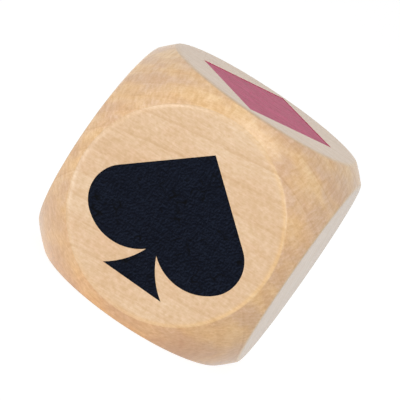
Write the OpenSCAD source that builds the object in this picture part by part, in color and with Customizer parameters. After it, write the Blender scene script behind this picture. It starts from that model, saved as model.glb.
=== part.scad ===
// Wooden suit cube, as used to mark or draw a card suit in a game. A hardwood
// cube is tumbled against a ball until only a round flat is left on each side,
// and a suit is stamped into four of the flats and filled with ink.
// It stands on a bare flat: the origin is the middle of that flat, the spade
// faces the front (-Y), the diamond lies on top and the right side (+X) is bare.

/* [Cube] */
// Edge of the cube, from flat to flat
cube_edge = 30; // [28:0.5:45]
// Diameter of the round flat on each side
face_diameter = 26.1; // [25:0.1:27]
// Radius of the softened rim of each flat
rim_radius = 0.6; // [0.2:0.1:1]

/* [Stamping] */
// Depth to which each suit is pressed into the wood
stamp_depth = 0.2; // [0.1:0.05:0.5]
// Thickness of the ink on the floor of the stamped recess
ink_thickness = 0.15; // [0.05:0.05:0.3]

/* [Leaf of the spade and the heart] */
// Width of the leaf across its two lobes
leaf_width = 20.9; // [18:0.1:22]
// Angle between the two straight sides at the point
point_angle = 100; // [90:1:110]
// Radius of the shoulder between a straight side and the lobe
shoulder_radius = 4.2; // [3:0.1:5]
// Radius of the underside of the lobe
lobe_radius = 6.25; // [5.8:0.05:7]
// How far the shoulder turns below level before the underside begins
shoulder_turn = 47.5; // [30:0.5:60]

/* [Spade] */
// Height of the spade's point above the middle of its flat
spade_point = 8.7; // [8:0.1:9.5]
// Height of the spade from its foot to its point
spade_height = 18.15; // [17:0.05:19]

/* [Club] */
// Diameter of each of the club's three discs
club_disc = 9.2; // [8.8:0.1:10]
// Distance from the club's hub to the middle of each disc
club_spread = 4.8; // [4:0.1:5.2]
// Height of the club from its foot to its top
club_height = 19; // [18:0.1:20]

/* [Stem of the spade and the club] */
// Width of the stem's foot
foot_width = 8.4; // [6:0.1:10]
// Width of the stem's neck
neck_width = 1.65; // [1:0.05:3]
// Height of the flared part, from foot to neck
stem_height = 4.05; // [3:0.05:5]
// Radius of the stem's hollow sides
flare_radius = 9.85; // [6:0.05:20]

/* [Diamond] */
// Width of the diamond, from side to side
diamond_width = 19; // [14:0.1:21]
// Length of the diamond, from front to back
diamond_length = 23.4; // [18:0.1:24]

/* [Hidden] */

wood_colour = [0.90, 0.76, 0.58];
black_ink_colour = [0.06, 0.07, 0.10];
red_ink_colour = [0.72, 0.10, 0.22];

// Fineness of the ball and the rims, and degrees between the points of an arc
ball_sides = 180;
arc_step = 5;
// How far a cut runs past the surface that it opens
cut_past = 1;
// How far the rounding circle of a rim stands proud of both surfaces, so that
// it crosses them at a clear angle
rim_proud = rim_radius / 100;

half_edge = cube_edge / 2;
face_radius = face_diameter / 2;
ball_radius = norm([half_edge, face_radius]);
leaf_half = leaf_width / 2;

// Rim section, as [distance from the axis, height above the cube's middle]
rim_height = half_edge - rim_radius + rim_proud;
rim_distance = ball_radius - rim_radius + rim_proud;
rim_centre = [sqrt(rim_distance ^ 2 - rim_height ^ 2), rim_height];
rim_reach = 2 * rim_radius;

// Points along an arc; first = 1 leaves out the starting point, where the outline
// already has it
function arc_points(centre, radius, start, end, first = 0) =
    let (steps = ceil(abs(end - start) / arc_step))
    [for (i = [first:steps])
        let (a = start + (end - start) * i / steps)
        centre + radius * [cos(a), sin(a)]];

function angle_of(point, centre) = atan2(point[1] - centre[1], point[0] - centre[0]);

// Point where two circles cross, on the left of the way from a's centre to b's
function circles_cross(a, a_radius, b, b_radius) =
    let (
        gap = norm(b - a),
        way = (b - a) / gap,
        along = (gap ^ 2 + a_radius ^ 2 - b_radius ^ 2) / (2 * gap)
    )
    a + way * along + [-way[1], way[0]] * sqrt(a_radius ^ 2 - along ^ 2);

// Closes the right half of an outline, listed from top to bottom, with its mirror image
function with_mirror(half) =
    concat(half, [for (i = [len(half) - 1:-1:0])
        if (half[i][0] > 0.001) [-half[i][0], half[i][1]]]);

// Leaf with its point at the origin: the straight side is tangent to the shoulder,
// and the shoulder to the underside of the lobe
side_angle = point_angle / 2;
shoulder_centre = [
    leaf_half - shoulder_radius,
    -(shoulder_radius + (leaf_half - shoulder_radius) * cos(side_angle)) / sin(side_angle)
];
lobe_centre = shoulder_centre
    - (lobe_radius - shoulder_radius) * [cos(shoulder_turn), -sin(shoulder_turn)];
lobe_bottom = lobe_centre[1] - lobe_radius;

// Right half of the leaf, down to the place where its underside ends
function half_leaf(underside_end) = concat(
    [[0, 0]],
    arc_points(shoulder_centre, shoulder_radius, side_angle, -shoulder_turn),
    arc_points(lobe_centre, lobe_radius, -shoulder_turn, underside_end, first = 1)
);

// Hollow side of a stem whose foot is at a height: the circle through the neck and
// the corner of the foot
neck_to_foot = [(foot_width - neck_width) / 2, -stem_height];
flare_depth = sqrt(flare_radius ^ 2 - (norm(neck_to_foot) / 2) ^ 2);
function flare_centre(foot) = [neck_width / 2, foot + stem_height] + neck_to_foot / 2
    + [-neck_to_foot[1], neck_to_foot[0]] / norm(neck_to_foot) * flare_depth;

// Hollow side from the suit's edge down to the corner of the foot
function stem_side(from, foot) =
    let (centre = flare_centre(foot))
    arc_points(centre, flare_radius, angle_of(from, centre),
        angle_of([foot_width / 2, foot], centre), first = 1);

module spade_outline() {
    foot = -spade_height;
    meeting = circles_cross(flare_centre(foot), flare_radius, lobe_centre, lobe_radius);
    translate([0, spade_point])
        polygon(with_mirror(concat(
            half_leaf(angle_of(meeting, lobe_centre)),
            stem_side(meeting, foot)
        )));
}

module heart_outline() {
    notch = [0, lobe_centre[1] - sqrt(lobe_radius ^ 2 - lobe_centre[0] ^ 2)];
    translate([0, lobe_bottom / 2])
        rotate(180)
            polygon(with_mirror(half_leaf(angle_of(notch, lobe_centre))));
}

module club_outline() {
    disc_radius = club_disc / 2;
    top_disc = [0, -disc_radius];
    hub = top_disc - [0, club_spread];
    side_disc = hub + club_spread * [cos(30), -sin(30)];
    foot = -club_height;
    discs_meet = circles_cross(top_disc, disc_radius, side_disc, disc_radius);
    stem_meets = circles_cross(flare_centre(foot), flare_radius, side_disc, disc_radius);
    translate([0, club_height / 2])
        polygon(with_mirror(concat(
            arc_points(top_disc, disc_radius, 90, angle_of(discs_meet, top_disc)),
            arc_points(side_disc, disc_radius, angle_of(discs_meet, side_disc),
                angle_of(stem_meets, side_disc), first = 1),
            stem_side(stem_meets, foot)
        )));
}

module diamond_outline() {
    polygon([
        [diamond_width / 2, 0],
        [0, diamond_length / 2],
        [-diamond_width / 2, 0],
        [0, -diamond_length / 2]
    ]);
}

// Turns a child that is drawn on a top face onto one of the upright sides:
// 0 is the front, 90 the right, 180 the back and 270 the left
module on_side(turn) {
    translate([0, 0, half_edge])
        rotate([90, 0, turn])
            children();
}

module on_top() {
    translate([0, 0, half_edge])
        children();
}

// Space that the stamp presses out of the wood
module stamped() {
    translate([0, 0, half_edge - stamp_depth])
        linear_extrude(stamp_depth + cut_past)
            children();
}

// Ink that fills the foot of the stamped space
module inked() {
    translate([0, 0, half_edge - stamp_depth])
        linear_extrude(ink_thickness)
            children();
}

// Sliver between the crisp edge of the upper flat and the circle that softens it
module rim_sliver() {
    rotate_extrude($fn = ball_sides)
        difference() {
            polygon([
                rim_centre,
                rim_centre + rim_reach * rim_centre / rim_distance,
                rim_centre + [0, rim_reach]
            ]);
            translate(rim_centre)
                circle(r = rim_radius, $fn = ball_sides);
        }
}

// Cube and ball in one, about the middle of the cube
module tumbled_block() {
    difference() {
        intersection() {
            cube(cube_edge, center = true);
            sphere(r = ball_radius, $fn = ball_sides);
        }
        for (turn = [0, 90, 180, 270])
            rotate([turn, 0, 0])
                rim_sliver();
        for (turn = [90, -90])
            rotate([0, turn, 0])
                rim_sliver();
    }
}

module wooden_cube() {
    color(wood_colour)
        difference() {
            translate([0, 0, half_edge])
                tumbled_block();
            on_side(0) stamped() spade_outline();
            on_top() stamped() diamond_outline();
            on_side(180) stamped() heart_outline();
            on_side(270) stamped() club_outline();
        }
}

module spade_ink() {
    color(black_ink_colour)
        on_side(0) inked() spade_outline();
}

module diamond_ink() {
    color(red_ink_colour)
        on_top() inked() diamond_outline();
}

module heart_ink() {
    color(red_ink_colour)
        on_side(180) inked() heart_outline();
}

module club_ink() {
    color(black_ink_colour)
        on_side(270) inked() club_outline();
}

wooden_cube();
spade_ink();
diamond_ink();
heart_ink();
club_ink();
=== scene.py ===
import math

import bmesh
import bpy
from mathutils import Matrix, Vector, geometry, noise


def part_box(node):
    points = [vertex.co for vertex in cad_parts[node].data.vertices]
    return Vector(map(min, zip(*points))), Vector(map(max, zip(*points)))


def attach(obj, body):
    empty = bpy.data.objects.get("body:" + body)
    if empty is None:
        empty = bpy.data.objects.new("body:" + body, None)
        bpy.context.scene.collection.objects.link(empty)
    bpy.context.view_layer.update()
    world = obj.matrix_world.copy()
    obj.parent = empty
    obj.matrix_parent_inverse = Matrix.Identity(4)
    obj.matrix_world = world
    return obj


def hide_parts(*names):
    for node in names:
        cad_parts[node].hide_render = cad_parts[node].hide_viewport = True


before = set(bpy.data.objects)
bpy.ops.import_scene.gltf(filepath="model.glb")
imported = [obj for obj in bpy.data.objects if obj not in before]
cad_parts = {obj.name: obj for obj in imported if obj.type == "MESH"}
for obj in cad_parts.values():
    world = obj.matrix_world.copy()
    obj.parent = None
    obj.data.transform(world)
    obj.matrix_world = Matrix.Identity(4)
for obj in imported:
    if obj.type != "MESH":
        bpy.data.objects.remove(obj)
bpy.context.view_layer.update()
print("frame loaded")

mm = 0.001
sameHeight = 0.001 * mm  # heights that differ by less count as one
weldDistance = 0.002 * mm  # corners of a mesh that are closer become one
blockLow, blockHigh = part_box("wooden_cube")
middle = (blockLow + blockHigh) / 2
halfEdge = (blockHigh.x - blockLow.x) / 2

# Each flat of the cube: its own right, its own up, and the way it faces
flats = {
    "front": (Vector((1, 0, 0)), Vector((0, 0, 1)), Vector((0, -1, 0))),
    "right": (Vector((0, 1, 0)), Vector((0, 0, 1)), Vector((1, 0, 0))),
    "back": (Vector((-1, 0, 0)), Vector((0, 0, 1)), Vector((0, 1, 0))),
    "left": (Vector((0, -1, 0)), Vector((0, 0, 1)), Vector((-1, 0, 0))),
    "top": (Vector((1, 0, 0)), Vector((0, 1, 0)), Vector((0, 0, 1))),
    "bottom": (Vector((1, 0, 0)), Vector((0, -1, 0)), Vector((0, 0, -1))),
}
suits = {"front": "spade_ink", "top": "diamond_ink", "back": "heart_ink", "left": "club_ink"}


# Outlines


def onFlat(side, u, v, height):
    # A point from its place on the flat and its height over the cube's middle
    right, up, out = flats[side]
    return middle + right * u + up * v + out * height


def suitOutline(side):
    # Corners of the ink's outer face in order round it, counter-clockwise from outside.
    # They are told apart by their places on the flat, to a ten thousandth of a millimetre.
    right, up, out = flats[side]
    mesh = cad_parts[suits[side]].data
    outer = max((v.co - middle).dot(out) for v in mesh.vertices)
    place = {}
    steps = set()
    for face in mesh.polygons:
        corners = [mesh.vertices[i].co - middle for i in face.vertices]
        if min(c.dot(out) for c in corners) < outer - sameHeight:
            continue
        keys = []
        for c in corners:
            key = (round(c.dot(right) / mm, 4), round(c.dot(up) / mm, 4))
            place[key] = Vector((c.dot(right), c.dot(up)))
            keys.append(key)
        steps.update(zip(keys, keys[1:] + keys[:1]))
    following = {a: b for a, b in steps if (b, a) not in steps}
    start = key = min(following)
    loop = []
    while not loop or key != start:
        loop.append(place[key])
        key = following[key]
    return loop


def movedIn(loop, distance):
    # The same outline, that far inside itself
    sharpest = 0.4  # sharper corners move in no farther than one as sharp as this
    moved = []
    for i, point in enumerate(loop):
        before = (point - loop[i - 1]).normalized()
        after = (loop[(i + 1) % len(loop)] - point).normalized()
        bisector = Vector((-before.y - after.y, before.x + after.x))
        openness = max(bisector.length_squared, sharpest)
        moved.append(point + bisector * (2 * distance / openness))
    return moved


def inside(loop, point):
    hit = False
    for a, b in zip(loop, loop[1:] + loop[:1]):
        if (a.y > point.y) != (b.y > point.y):
            if point.x < a.x + (point.y - a.y) * (b.x - a.x) / (b.y - a.y):
                hit = not hit
    return hit


def clearance(loop, point):
    # Shortest way from the point to the outline
    least = math.inf
    for a, b in zip(loop, loop[1:] + loop[:1]):
        way = b - a
        share = min(1, max(0, (point - a).dot(way) / way.length_squared))
        least = min(least, (a + way * share - point).length)
    return least


def honeycomb(reach, gap):
    # Points of even triangles over a square of that reach
    rowGap = gap * math.sqrt(0.75)
    rows = int(reach / rowGap)
    across = int(reach / gap)
    return [
        Vector(((i + 0.5 * (j % 2)) * gap, j * rowGap))
        for j in range(-rows, rows + 1)
        for i in range(-across, across + 1)
    ]


def filled(loops, keep, extra):
    # Triangles between the outlines and the extra points inside them. Keep says whether
    # a triangle's middle belongs to the area.
    convexHull = 0  # the first triangles fill everything, hollows and holes too
    nearest = 1e-7  # points that are nearer become one
    points = [p for loop in loops for p in loop] + extra
    edges = []
    first = 0
    for loop in loops:
        edges += [(first + i, first + (i + 1) % len(loop)) for i in range(len(loop))]
        first += len(loop)
    made = geometry.delaunay_2d_cdt(points, edges, [], convexHull, nearest)
    corners, triangles = made[0], made[2]
    middles = [sum((corners[i] for i in t), Vector((0, 0))) / 3 for t in triangles]
    return corners, [t for t, centre in zip(triangles, middles) if keep(centre)]


# Wooden block

blockSizes = {
    "rimStart": 12.2 * mm,  # from the flat's axis to where its softened rim begins
    "rimEnd": 41.7,  # degrees from the axis, where the rim meets the ball
    "rimSlope": 24,  # degrees by which the rim slopes there
    "stampDepth": 0.2 * mm,
    "around": 192,  # points round each flat, a multiple of 8
    "rimRings": 12,
    "ballRings": 14,
    "guard": 0.25 * mm,  # narrow ring that keeps the flat's shading flat
    "flatGap": 1.1 * mm,  # spacing of the points inside a flat
    "clearShare": 0.45,  # share of it that stays free of them along every edge
    "sharpAngle": 40,  # degrees from which an edge between two faces stays crisp
}


def ballRadius():
    # The tumbling ball's radius, off the frame's own block
    return max((v.co - middle).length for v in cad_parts["wooden_cube"].data.vertices)


def rimCurve(s, ball, power):
    # Steps outwards over the rim, as distance from the flat's axis and height. Its slope
    # grows with that power of the way from the flat to the ball.
    step = (ball * math.sin(math.radians(s["rimEnd"])) - s["rimStart"]) / s["rimRings"]
    slope = math.radians(s["rimSlope"])
    height = halfEdge
    curve = [(s["rimStart"], height)]
    for k in range(1, s["rimRings"] + 1):
        height -= step * math.tan(slope * ((k - 0.5) / s["rimRings"]) ** power)
        curve.append((s["rimStart"] + step * k, height))
    return curve


def flatRings(s):
    # Rings from the flat over its rim to the ball, the angle at which the ball begins and
    # its radius. Halving finds the power with which the rim ends on the ball.
    halvings = 40
    ball = ballRadius()
    lean = math.radians(s["rimEnd"])
    low, high = 1.0, 6.0
    for _ in range(halvings):
        power = (low + high) / 2
        tooDeep = rimCurve(s, ball, power)[-1][1] < ball * math.cos(lean)
        low, high = (power, high) if tooDeep else (low, power)
    return [(s["rimStart"] - s["guard"], halfEdge)] + rimCurve(s, ball, power), lean, ball


def roundAbout(side, angle, out, height):
    return onFlat(side, out * math.cos(angle), out * math.sin(angle), height)


def blockSide(mesh, side, s):
    # One flat with its rim and its share of the ball, as far as the next flats' shares
    rings, lean, ball = flatRings(s)
    count = s["around"]
    angles = [2 * math.pi * i / count for i in range(count)]
    loops = [[roundAbout(side, a, out, height) for a in angles] for out, height in rings]
    for k in range(1, s["ballRings"] + 1):
        loop = []
        for a in angles:
            border = math.atan2(1, max(abs(math.cos(a)), abs(math.sin(a))))
            tilt = lean + (border - lean) * k / s["ballRings"]
            loop.append(roundAbout(side, a, ball * math.sin(tilt), ball * math.cos(tilt)))
        loops.append(loop)
    corners = [[mesh.verts.new(p) for p in loop] for loop in loops]
    for inner, outer in zip(corners, corners[1:]):
        for i in range(count):
            j = (i + 1) % count
            mesh.faces.new((inner[i], outer[i], outer[j], inner[j]))
    flatFace(mesh, side, s, rings[0][0], angles)


def flatFace(mesh, side, s, edge, angles):
    # The flat up to that distance from its axis, with the recess of its suit
    circle = [Vector((edge * math.cos(a), edge * math.sin(a))) for a in angles]
    hole = suitOutline(side) if side in suits else []
    clear = s["flatGap"] * s["clearShare"]
    extra = []
    for p in honeycomb(edge, s["flatGap"]):
        if p.length > edge - clear:
            continue
        if hole and (inside(hole, p) or clearance(hole, p) < clear):
            continue
        extra.append(p)

    def isWood(p):
        return p.length < edge and not (hole and inside(hole, p))

    loops = [circle, hole] if hole else [circle]
    points, triangles = filled(loops, isWood, extra)
    faceOf(mesh, side, points, triangles, halfEdge)
    if hole:
        floorHeight = halfEdge - s["stampDepth"]
        wall(mesh, side, hole, halfEdge, floorHeight)
        points, triangles = filled([hole], lambda p: inside(hole, p), [])
        faceOf(mesh, side, points, triangles, floorHeight)


def faceOf(mesh, side, points, triangles, height):
    # One level face of those triangles
    corners = [mesh.verts.new(onFlat(side, p.x, p.y, height)) for p in points]
    for t in triangles:
        mesh.faces.new([corners[i] for i in t])


def wall(mesh, side, loop, high, low):
    # The upright wall along an outline, between two heights
    top = [mesh.verts.new(onFlat(side, p.x, p.y, high)) for p in loop]
    foot = [mesh.verts.new(onFlat(side, p.x, p.y, low)) for p in loop]
    for i in range(len(loop)):
        j = (i + 1) % len(loop)
        mesh.faces.new((top[i], top[j], foot[j], foot[i]))


def finishedMesh(name, mesh, sharpAngle):
    # Joins what meets, turns every face outwards and keeps hard edges crisp
    bmesh.ops.remove_doubles(mesh, verts=mesh.verts, dist=weldDistance)
    bmesh.ops.recalc_face_normals(mesh, faces=mesh.faces)
    for face in mesh.faces:
        face.smooth = True
    for edge in mesh.edges:
        edge.smooth = edge.calc_face_angle(0) < math.radians(sharpAngle)
    data = bpy.data.meshes.new(name)
    mesh.to_mesh(data)
    mesh.free()
    piece = bpy.data.objects.new(name, data)
    bpy.context.collection.objects.link(piece)
    return piece


def makeBlock():
    s = blockSizes
    mesh = bmesh.new()
    for side in flats:
        blockSide(mesh, side, s)
    return finishedMesh("tumbled_block", mesh, s["sharpAngle"])


# Ink pieces

inkSizes = {
    "lipDepth": 0.015 * mm,  # the ink creeps up the wall of its recess to this far under the flat
    "lipWidth": 0.04 * mm,
    "outerDepth": 0.1 * mm,  # its border lies this far under the flat
    "innerDepth": 0.05 * mm,  # and the rest of it this far
    "shoulder": 0.12 * mm,  # width of the rounded border
    "shoulderRings": 4,
    "gap": 0.3 * mm,  # spacing of the points inside
    "clearShare": 0.4,  # share of it that stays free of them along the border
    "unevenness": 0.006 * mm,
    "lumps": 1.4,  # lumps in a millimetre
    "sharpAngle": 60,  # degrees from which an edge between two faces stays crisp
}


def makeInk(side, name):
    s = inkSizes
    mesh = bmesh.new()
    outline = suitOutline(side)
    recessFloor = halfEdge - blockSizes["stampDepth"]
    # From the lip down to the border and over its shoulder, as outlines with their heights
    loops = [(outline, halfEdge - s["lipDepth"])]
    for k in range(s["shoulderRings"] + 1):
        a = math.pi / 2 * k / s["shoulderRings"]
        height = halfEdge - s["outerDepth"] + (s["outerDepth"] - s["innerDepth"]) * math.sin(a)
        inwards = s["lipWidth"] + s["shoulder"] * (1 - math.cos(a))
        loops.append((movedIn(outline, inwards), height))
    wall(mesh, side, outline, loops[0][1], recessFloor)
    for (outer, low), (inner, high) in zip(loops, loops[1:]):
        border = [mesh.verts.new(onFlat(side, p.x, p.y, low)) for p in outer]
        crest = [mesh.verts.new(onFlat(side, p.x, p.y, high)) for p in inner]
        for i in range(len(outer)):
            j = (i + 1) % len(outer)
            mesh.faces.new((border[i], border[j], crest[j], crest[i]))
    top, height = loops[-1]
    reach = max(max(abs(p.x), abs(p.y)) for p in top)
    clear = s["gap"] * s["clearShare"]
    extra = [
        p for p in honeycomb(reach, s["gap"])
        if inside(top, p) and clearance(top, p) > clear
    ]
    points, triangles = filled([top], lambda p: inside(top, p), extra)
    corners = []
    for i, p in enumerate(points):
        place = onFlat(side, p.x, p.y, height)
        if i >= len(top):
            lump = noise.noise(place / mm * s["lumps"])
            place += flats[side][2] * s["unevenness"] * lump
        corners.append(mesh.verts.new(place))
    for t in triangles:
        mesh.faces.new([corners[i] for i in t])
    points, triangles = filled([outline], lambda p: inside(outline, p), [])
    faceOf(mesh, side, points, triangles, recessFloor)
    return finishedMesh(name, mesh, s["sharpAngle"])


# Short ways to make nodes


def newMaterial(name):
    material = bpy.data.materials.new(name)
    material.use_nodes = True
    tree = material.node_tree
    tree.nodes.clear()
    shader = tree.nodes.new("ShaderNodeBsdfPrincipled")
    output = tree.nodes.new("ShaderNodeOutputMaterial")
    tree.links.new(shader.outputs["BSDF"], output.inputs["Surface"])
    return material, tree, shader


def feed(tree, socket, value):
    # Links another node's output, or sets a plain value; a colour comes without its alpha
    if isinstance(value, bpy.types.NodeSocket):
        tree.links.new(value, socket)
        return
    if socket.type == "RGBA":
        value = (*value, 1)
    socket.default_value = value


def calc(tree, operation, a, b=None):
    node = tree.nodes.new("ShaderNodeMath")
    node.operation = operation
    feed(tree, node.inputs[0], a)
    if b is not None:
        feed(tree, node.inputs[1], b)
    return node.outputs[0]


def vector(tree, operation, a, b=None, result="Vector"):
    node = tree.nodes.new("ShaderNodeVectorMath")
    node.operation = operation
    feed(tree, node.inputs[0], a)
    if b is not None:
        feed(tree, node.inputs[1], b)
    return node.outputs[result]


def along(tree, place, way):
    # How far a place lies along a way
    return vector(tree, "DOT_PRODUCT", place, way, result="Value")


def apart(tree, place):
    node = tree.nodes.new("ShaderNodeSeparateXYZ")
    feed(tree, node.inputs[0], place)
    return node.outputs


def grain(tree, place, waves, detail=2.0, roughness=0.5):
    # Noise from 0 to 1, with that many waves in a millimetre along each axis
    node = tree.nodes.new("ShaderNodeTexNoise")
    feed(tree, node.inputs["Vector"], vector(tree, "MULTIPLY", place, waves))
    node.inputs["Scale"].default_value = 1
    node.inputs["Detail"].default_value = detail
    node.inputs["Roughness"].default_value = roughness
    return node.outputs[0]


def spread(tree, value, low, high, newLow=0.0, newHigh=1.0, smooth=False):
    # Takes low to newLow and high to newHigh, and goes no farther
    node = tree.nodes.new("ShaderNodeMapRange")
    node.interpolation_type = "SMOOTHSTEP" if smooth else "LINEAR"
    feed(tree, node.inputs["Value"], value)
    node.inputs["From Min"].default_value = low
    node.inputs["From Max"].default_value = high
    node.inputs["To Min"].default_value = newLow
    node.inputs["To Max"].default_value = newHigh
    return node.outputs["Result"]


def mix(tree, share, a, b, mode="MIX"):
    node = tree.nodes.new("ShaderNodeMix")
    node.data_type = "RGBA"
    node.blend_type = mode
    feed(tree, node.inputs["Factor"], share)
    feed(tree, node.inputs[6], a)
    feed(tree, node.inputs[7], b)
    return node.outputs[2]


def relief(tree, height, depth, under=None):
    # Normals of a relief of that depth, on top of the one under it
    node = tree.nodes.new("ShaderNodeBump")
    node.inputs["Strength"].default_value = 1
    node.inputs["Distance"].default_value = depth
    feed(tree, node.inputs["Height"], height)
    if under is not None:
        feed(tree, node.inputs["Normal"], under)
    return node.outputs["Normal"]


def tinted(tree, colour, value, low, high, dark, light):
    # Colour multiplied by a tint that runs from dark to light with the value
    tint = mix(tree, spread(tree, value, low, high), dark, light)
    return mix(tree, 1.0, colour, tint, "MULTIPLY")


def millimetres(tree, origin, turn=(0, 0, 0)):
    # The object's own coordinates in millimetres from origin, turned a little
    coordinates = tree.nodes.new("ShaderNodeTexCoord").outputs["Object"]
    scaled = vector(tree, "SCALE", vector(tree, "SUBTRACT", coordinates, origin))
    scaled.node.inputs["Scale"].default_value = 1000
    node = tree.nodes.new("ShaderNodeMapping")
    feed(tree, node.inputs["Vector"], scaled)
    node.inputs["Rotation"].default_value = [math.radians(a) for a in turn]
    return node.outputs["Vector"]


# Maple

mapleLook = {
    "pith": (0, 38.4 * mm, 45.9 * mm),  # middle of the trunk, from the middle of the cube
    "fibreTurn": (0, 3, -3),  # degrees by which the fibres leave the X axis
    "ringGap": 2.0,  # mm
    "drift": 3.0,  # mm by which the rings drift
    "wobble": 0.5,  # and wobble
    # Waves in a millimetre, along the fibres, out from the pith and round it
    "driftWaves": (0.02, 0.09, 0.03),
    "wobbleWaves": (0.1, 0.1, 0.25),
    "lineWaves": (0.05, 0.35, 0.1),
    "cloudWaves": (0.09, 0.22, 0.14),
    "blushWaves": (0.25, 0.5, 0.4),
    "rayWaves": (1.7, 0.7, 3.0),
    "fibreWaves": (0.7, 5.2, 5.2),
    "poreWaves": (1.0, 6.0, 6.0),
    "patchWaves": (0.16, 0.35, 0.3),
    # Colours, and the largest shares of them
    "light": (0.80, 0.565, 0.352),
    "dark": (0.675, 0.405, 0.203),
    "line": (0.58, 0.32, 0.14),
    "pink": (0.775, 0.487, 0.29),
    "lateShare": 0.2,  # of dark, in the late wood of each ring
    "lineShares": (0.02, 0.32),  # of line, where a ring ends faintly or clearly
    "cloudShare": 0.45,
    "pinkShare": 0.35,
    "poreShare": 0.22,
    "rayTints": ((0.91, 0.86, 0.775), (1.045, 1.08, 1.135)),  # darkest and lightest
    "fibreTints": ((0.935, 0.905, 0.85), (1.035, 1.055, 1.095)),
    "endGrainAndReflectionTint": (0.92, 0.955, 1.01),  # tint of the end grain, on the flats across the fibres, made greyer as a painted grazing reflection
    "endFrom": (14.8, 14.98),  # mm from the middle, over which it comes in
    # Tints of the ball-shaped faces between the flats
    "tumbled": ((1.135, 1.10, 1.07), (1.0, 0.88, 0.67)),  # palest on the lit side, and deepest in the painted shade
    "tumbledRaysAndSheen": ((0.972, 0.94, 0.89), (1.028, 1.055, 1.11)),  # their rays show more, and the lightest tint paints whitish sheen flecks on them
    "patches": ((1.065, 1.045, 0.89), (0.94, 0.915, 0.935)),  # golden and rosy parts of them
    "shadedWay": (0.1, 0, -0.97),  # the side on which their painted shade is deepest
    "shadedFrom": (-5, 18),  # mm along that way, over which the painted shade deepens
    # Rims rubbed paler, with a painted warm highlight that is brightest on one side, by how far a
    # point lies under the plane of the nearest flat
    "rimRubAndHighlightTint": (1.13, 1.09, 0.91),
    "rimFrom": (0.0, 0.06),  # mm, over which the rim's tint comes in
    "rimUntil": (0.13, 0.2),  # and gives way to those of the ball-shaped face
    "rubAndHighlightWay": (1, 0, -0.15),  # the side on which their painted highlight is brightest
    "rubAndHighlightFrom": (0, 12),  # mm along that way, over which the tint grows
    "rubAndHighlightShares": (0.25, 1),
    # Lacquer and relief
    "roughness": (0.42, 0.58),
    "shine": 0.12,
    "coat": 0.77,
    "coatIor": 1.8,
    "coatRoughness": 0.24,
    "rayDepth": 0.022 * mm,
    "fibreDepth": 0.008 * mm,
    "poreDepth": 0.01 * mm,
    "coatRayDepth": 0.02 * mm,
    "coatFibreDepth": 0.006 * mm,
}
noiseSpan = (0.3, 0.7)  # between these lies nearly all of a noise


def roundThePith(tree, place, usual):
    # Along the fibres, out from the pith, and round it at the usual distance from it, all
    # in millimetres
    lengthways, across, upwards = apart(tree, place)
    out = vector(tree, "LENGTH", vector(tree, "MULTIPLY", place, (0, 1, 1)), result="Value")
    downwards = calc(tree, "MULTIPLY", upwards, -1.0)
    around = calc(tree, "MULTIPLY", calc(tree, "ARCTAN2", across, downwards), usual)
    together = tree.nodes.new("ShaderNodeCombineXYZ")
    for socket, value in zip(together.inputs, (lengthways, out, around)):
        feed(tree, socket, value)
    return together.outputs[0], out


def underTheFlats(tree):
    # How far a point lies inside the plane of the nearest flat, in millimetres
    x, y, z = apart(tree, vector(tree, "ABSOLUTE", millimetres(tree, middle)))
    farthest = calc(tree, "MAXIMUM", calc(tree, "MAXIMUM", x, y), z)
    return calc(tree, "SUBTRACT", halfEdge / mm, farthest)


def plainWood(tree, s, trunk, distance, rays, fibres, pores):
    # Growth rings drift a little, and each ends in a thin darker line
    drift = calc(tree, "MULTIPLY", grain(tree, trunk, s["driftWaves"], 2), s["drift"])
    wobble = calc(tree, "MULTIPLY", grain(tree, trunk, s["wobbleWaves"], 2), s["wobble"])
    years = calc(tree, "ADD", calc(tree, "ADD", distance, drift), wobble)
    season = calc(tree, "FRACT", calc(tree, "DIVIDE", years, s["ringGap"]))
    late = spread(tree, season, 0.3, 0.97, smooth=True)
    ending = spread(tree, season, 0.84, 0.95, smooth=True)
    line = calc(tree, "MULTIPLY", ending, spread(tree, season, 1.0, 0.97))
    lineShare = spread(tree, grain(tree, trunk, s["lineWaves"], 1), 0.35, 0.65, *s["lineShares"])
    colour = mix(tree, calc(tree, "MULTIPLY", late, s["lateShare"]), s["light"], s["dark"])
    colour = mix(tree, calc(tree, "MULTIPLY", line, lineShare), colour, s["line"])
    # Broad cloudy changes of tone, some a little pink
    cloud = grain(tree, trunk, s["cloudWaves"], 3)
    colour = mix(tree, spread(tree, cloud, 0.4, 0.7, 0, s["cloudShare"]), colour, s["dark"])
    blush = grain(tree, trunk, s["blushWaves"], 2)
    colour = mix(tree, spread(tree, blush, 0.5, 0.75, 0, s["pinkShare"]), colour, s["pink"])
    # Rays run out from the pith as thin ribbons, fibres and pores along the trunk
    colour = tinted(tree, colour, rays, *noiseSpan, *s["rayTints"])
    colour = tinted(tree, colour, fibres, *noiseSpan, *s["fibreTints"])
    return mix(tree, calc(tree, "MULTIPLY", pores, s["poreShare"]), colour, s["line"])


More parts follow.
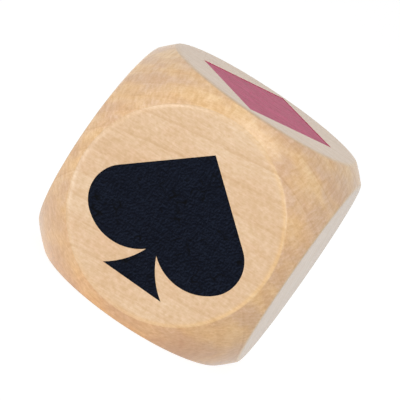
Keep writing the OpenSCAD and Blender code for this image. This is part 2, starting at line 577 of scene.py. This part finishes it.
def mapleWood():
    s = mapleLook
    material, tree, shader = newMaterial("lacquered maple")
    place = millimetres(tree, middle + Vector(s["pith"]), s["fibreTurn"])
    trunk, distance = roundThePith(tree, place, Vector(s["pith"]).length / mm)
    rays = grain(tree, trunk, s["rayWaves"], 3, 0.62)
    fibres = grain(tree, trunk, s["fibreWaves"], 2, 0.6)
    pores = spread(tree, grain(tree, trunk, s["poreWaves"], 1), 0.68, 0.76, smooth=True)
    colour = plainWood(tree, s, trunk, distance, rays, fibres, pores)
    # Two flats lie across the fibres and show end grain, tinted greyer as a painted grazing
    # reflection
    fromMiddle = millimetres(tree, middle)
    acrossFibres = calc(tree, "ABSOLUTE", apart(tree, fromMiddle)[0])
    colour = tinted(tree, colour, acrossFibres, *s["endFrom"], (1, 1, 1), s["endGrainAndReflectionTint"])
    # The tumbled faces are richer than the sanded flats, and painted shade makes them deeper and
    # more orange towards the bottom
    shadedSide = spread(tree, along(tree, fromMiddle, s["shadedWay"]), *s["shadedFrom"])
    tumbled = mix(tree, 1.0, colour, mix(tree, shadedSide, *s["tumbled"]), "MULTIPLY")
    # Their rays, whose lightest parts are painted sheen flecks
    tumbled = tinted(tree, tumbled, rays, *noiseSpan, *s["tumbledRaysAndSheen"])
    patches = grain(tree, trunk, s["patchWaves"], 2)
    tumbled = tinted(tree, tumbled, patches, 0.35, 0.62, *s["patches"])
    under = underTheFlats(tree)
    colour = mix(tree, spread(tree, under, *s["rimUntil"], smooth=True), colour, tumbled)
    # The rims between them are rubbed paler, and carry a painted highlight that is brightest on one
    # side
    notBall = spread(tree, under, *reversed(s["rimUntil"]), smooth=True)
    rim = calc(tree, "MULTIPLY", spread(tree, under, *s["rimFrom"]), notBall)
    rubAndHighlight = along(tree, fromMiddle, s["rubAndHighlightWay"])
    rubAndHighlight = spread(tree, rubAndHighlight, *s["rubAndHighlightFrom"], *s["rubAndHighlightShares"])
    rim = calc(tree, "MULTIPLY", rim, rubAndHighlight)
    colour = tinted(tree, colour, rim, 0, 1, (1, 1, 1), s["rimRubAndHighlightTint"])
    feed(tree, shader.inputs["Base Color"], colour)
    feed(tree, shader.inputs["Roughness"], spread(tree, rays, *noiseSpan, *s["roughness"]))
    shader.inputs["Specular IOR Level"].default_value = s["shine"]
    shader.inputs["Coat Weight"].default_value = s["coat"]
    shader.inputs["Coat IOR"].default_value = s["coatIor"]
    shader.inputs["Coat Roughness"].default_value = s["coatRoughness"]
    bump = relief(tree, rays, s["rayDepth"])
    bump = relief(tree, fibres, s["fibreDepth"], under=bump)
    bump = relief(tree, calc(tree, "SUBTRACT", 1.0, pores), s["poreDepth"], under=bump)
    feed(tree, shader.inputs["Normal"], bump)
    coatBump = relief(tree, rays, s["coatRayDepth"])
    coatBump = relief(tree, fibres, s["coatFibreDepth"], under=coatBump)
    feed(tree, shader.inputs["Coat Normal"], coatBump)
    return material


# Stamped inks

inkLooks = {
    "black_ink": {
        "base": (0.0007, 0.0016, 0.0057),
        # painted highlight on the lit side of each lump
        "lumpHighlight": (0.0085, 0.0122, 0.024),
        # painted shade in cracks and in the groove
        "pitShade": (0.0008, 0.001, 0.002),
        "streakTints": ((0.75, 0.75, 0.8), (1.25, 1.25, 1.2)),
        "pitShadeShare": 1.0,  # share of the painted shade in cracks and in the groove
        "shine": 0.05,
        "roughness": (0.4, 0.5),
        "lumpDepth": 0.13 * mm,
        "streakDepth": 0.008 * mm,
    },
    "red_ink": {
        "base": (0.57, 0.025, 0.124),
        # painted highlight on the lit side of each lump
        "lumpHighlight": (0.65, 0.041, 0.164),
        # painted shade in cracks and in the groove
        "pitShade": (0.24, 0.008, 0.05),
        "streakTints": ((0.76, 0.66, 0.70), (1.15, 1.25, 1.28)),
        "pitShadeShare": 0.25,
        "shine": 0.16,
        "roughness": (0.38, 0.48),
        "lumpDepth": 0.02 * mm,
        "streakDepth": 0.02 * mm,
    },
}


# What both inks have in common; waves are in a millimetre, along X, Y and Z
inkPattern = {
    "lumpWaves": (3.6, 3.6, 3.6),
    "streakWaves": (0.3, 4.2, 4.2),
    "crackWaves": (0.35, 3.2, 3.2),
    "crackTurn": (0, 52, 0),  # degrees by which the cracks leave the fibres
    "creaseWaves": (0.3, 0.3, 0.3),
    "breakWaves": (0.5, 0.5, 0.5),
    "breakShift": (7, 3, 5),  # mm, so that the breaks don't follow the creases
    "lumpLightWay": (0.1, -0.04, -0.07),  # mm offset that sets which side of each lump gets the painted highlight
    "grooveShade": (0.058, 0.085),  # mm under the flat, over which the painted shade of the groove comes in
    "crackDepth": 0.02 * mm,
}


def inkCracks(tree, place, common):
    # Short cracks, and a few long creases that wander through the ink and break off
    slanting = millimetres(tree, middle, common["crackTurn"])
    cracks = spread(tree, grain(tree, slanting, common["crackWaves"], 1), 0.70, 0.75)
    height = grain(tree, place, common["creaseWaves"], 2)
    offLevel = calc(tree, "ABSOLUTE", calc(tree, "SUBTRACT", height, 0.5))
    elsewhere = vector(tree, "ADD", place, common["breakShift"])
    unbroken = spread(tree, grain(tree, elsewhere, common["breakWaves"], 1), 0.5, 0.6)
    creases = calc(tree, "MULTIPLY", spread(tree, offLevel, 0.004, 0.02, 1, 0), unbroken)
    return calc(tree, "MAXIMUM", cracks, creases)


def stampedInk(name):
    s = inkLooks[name]
    common = inkPattern
    material, tree, shader = newMaterial(name.replace("_", " "))
    place = millimetres(tree, middle)
    lumps = grain(tree, place, common["lumpWaves"], 2, 0.55)
    streaks = grain(tree, place, common["streakWaves"], 2, 0.5)
    cracks = inkCracks(tree, place, common)
    # Painted light and shade: each lump is lighter on one side, as if lit from there, and takes the
    # highlight colour
    moved = vector(tree, "ADD", place, common["lumpLightWay"])
    behind = grain(tree, moved, common["lumpWaves"], 2, 0.55)
    litLumps = spread(tree, calc(tree, "SUBTRACT", lumps, behind), -0.1, 0.14)
    colour = mix(tree, litLumps, s["base"], s["lumpHighlight"])
    colour = tinted(tree, colour, streaks, 0.35, 0.65, *s["streakTints"])
    # Cracks and creases take painted shade
    colour = mix(tree, calc(tree, "MULTIPLY", cracks, s["pitShadeShare"]), colour, s["pitShade"])
    # Painted shade in the groove that runs round the suit, just inside its edge
    grooveShade = spread(tree, underTheFlats(tree), *common["grooveShade"], 0, s["pitShadeShare"])
    colour = mix(tree, grooveShade, colour, s["pitShade"])
    feed(tree, shader.inputs["Base Color"], colour)
    feed(tree, shader.inputs["Roughness"], spread(tree, lumps, *noiseSpan, *s["roughness"]))
    shader.inputs["Specular IOR Level"].default_value = s["shine"]
    bump = relief(tree, lumps, s["lumpDepth"])
    bump = relief(tree, streaks, s["streakDepth"], under=bump)
    bump = relief(tree, calc(tree, "SUBTRACT", 1.0, cracks), common["crackDepth"], under=bump)
    feed(tree, shader.inputs["Normal"], bump)
    return material


# Studio: floor, dome, lamps and camera

studio = {
    "floorTone": 0.86,
    "floorReach": 3.0,  # m from its middle to each side
    "floorGlow": 0.7,  # share of plain white that the camera sees in the floor
    "glowStrength": 1.3,
    "domeStrength": 0.33,
    "cameraPlace": (34.35 * mm, -311.78 * mm, 59.97 * mm),  # from the middle of the cube
    "lookAlong": (-0.1085, 0.9764, -0.1865),
    "pictureUp": (-0.569, 0.0928, 0.8171),
    "lens": 233.9,  # mm, on a sensor 36 mm wide
    # The way to each lamp as picture right, picture up and towards the camera; how bright
    # a white surface that faces the lamp gets; width and length in m
    "lamps": {
        "key softbox": ((-0.74, 0.06, 0.67), 0.25, (0.13, 0.25)),
        "upper left softbox": ((-0.38, 0.38, 0.84), 0.10, (0.11, 0.2)),
        "front softbox": ((0.0, 0.1, 1.0), 0.15, (0.2, 0.2)),
        "upper softbox": ((0.15, 0.55, 0.82), 0.045, (0.12, 0.3)),
        "far upper softbox": ((0.59, 0.67, 0.44), 0.08, (0.06, 0.26)),
        "right softbox": ((0.50, -0.10, 0.86), 0.14, (0.2, 0.2)),
        "back left softbox": ((-0.42, 0.29, -0.855), 0.10, (0.25, 0.3)),
    },
    "lampDistance": 0.42,  # m
    "withoutGlare": "front softbox",  # a plain fill light, which the lacquer doesn't mirror
}


def seenRays(tree):
    # 1 for what the camera, a mirror or glass sees, 0 for light that falls on matt surfaces
    path = tree.nodes.new("ShaderNodeLightPath")
    seen = calc(tree, "MAXIMUM", path.outputs["Is Camera Ray"], path.outputs["Is Glossy Ray"])
    return calc(tree, "MAXIMUM", seen, path.outputs["Is Transmission Ray"])


def makeFloor():
    mesh = bpy.data.meshes.new("floor")
    reach = studio["floorReach"]
    ways = ((-1, -1), (1, -1), (1, 1), (-1, 1))
    corners = [(x * reach, y * reach, blockLow.z) for x, y in ways]
    mesh.from_pydata(corners, [], [(0, 1, 2, 3)])
    floor = bpy.data.objects.new("floor", mesh)
    bpy.context.collection.objects.link(floor)
    material, tree, shader = newMaterial("pale floor")
    feed(tree, shader.inputs["Base Color"], (studio["floorTone"],) * 3)
    shader.inputs["Roughness"].default_value = 0.9
    shader.inputs["Specular IOR Level"].default_value = 0.0
    glow = tree.nodes.new("ShaderNodeEmission")
    glow.inputs["Strength"].default_value = studio["glowStrength"]
    blend = tree.nodes.new("ShaderNodeMixShader")
    feed(tree, blend.inputs[0], calc(tree, "MULTIPLY", seenRays(tree), studio["floorGlow"]))
    tree.links.new(shader.outputs[0], blend.inputs[1])
    tree.links.new(glow.outputs[0], blend.inputs[2])
    output = next(n for n in tree.nodes if n.type == "OUTPUT_MATERIAL")
    tree.links.new(blend.outputs[0], output.inputs["Surface"])
    floor.data.materials.append(material)


def makeWorld():
    world = bpy.data.worlds.new("studio dome")
    bpy.context.scene.world = world
    world.use_nodes = True
    tree = world.node_tree
    background = next(n for n in tree.nodes if n.type == "BACKGROUND")
    background.inputs["Color"].default_value = (1, 1, 1, 1)
    strength = spread(tree, seenRays(tree), 0, 1, studio["domeStrength"], 1)
    feed(tree, background.inputs["Strength"], strength)


def makeCamera():
    # Returns its axes: picture right, picture up and back to the camera
    camera = bpy.data.objects.new("camera", bpy.data.cameras.new("camera"))
    bpy.context.collection.objects.link(camera)
    back = -Vector(studio["lookAlong"]).normalized()
    right = Vector(studio["pictureUp"]).cross(back).normalized()
    up = back.cross(right)
    place = Matrix.Translation(middle + Vector(studio["cameraPlace"]))
    camera.matrix_world = place @ Matrix((right, up, back)).transposed().to_4x4()
    camera.data.sensor_width = 36
    camera.data.lens = studio["lens"]
    camera.data.clip_start = 0.01
    bpy.context.scene.camera = camera
    return right, up, back


def makeLamps(axes, pieces):
    # The photograph has the cube on a corner, so here some of its lamps stand lower than
    # the floor. Only the cube blocks the lamps, and the floor still gets its shadow.
    blockers = bpy.data.collections.new("lamp blockers")
    for piece in pieces:
        blockers.objects.link(piece)
    for name, (way, strength, size) in studio["lamps"].items():
        lamp = bpy.data.lights.new(name, "AREA")
        lamp.shape = "ELLIPSE"
        lamp.size, lamp.size_y = size
        lamp.energy = strength * math.pi ** 2 * studio["lampDistance"] ** 2
        towards = sum((axis * share for axis, share in zip(axes, way)), Vector())
        towards.normalize()
        holder = bpy.data.objects.new(name, lamp)
        bpy.context.collection.objects.link(holder)
        holder.location = middle + towards * studio["lampDistance"]
        # The longer side of a lamp runs from the picture's lower right to its upper left
        slanting = axes[1] - axes[0]
        side = slanting.cross(towards).normalized()
        holder.rotation_euler = Matrix((side, towards.cross(side), towards)).transposed().to_euler()
        holder.light_linking.blocker_collection = blockers
        holder.visible_camera = False
        holder.visible_glossy = name != studio["withoutGlare"]


# Everything together


def dress(piece, node, material):
    piece.data.materials.append(material)
    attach(piece, "root")
    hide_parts(node)
    return piece


pieces = [dress(makeBlock(), "wooden_cube", mapleWood())]
print("wooden block ready")
inks = {name: stampedInk(name) for name in inkLooks}
inkPieces = {
    "front": ("stamped_spade", "black_ink"),
    "top": ("stamped_diamond", "red_ink"),
    "back": ("stamped_heart", "red_ink"),
    "left": ("stamped_club", "black_ink"),
}
for side, (name, ink) in inkPieces.items():
    pieces.append(dress(makeInk(side, name), suits[side], inks[ink]))
print("inks ready")
makeFloor()
makeWorld()
makeLamps(makeCamera(), pieces)
bpy.context.scene.view_settings.view_transform = "Standard"
print("studio ready")
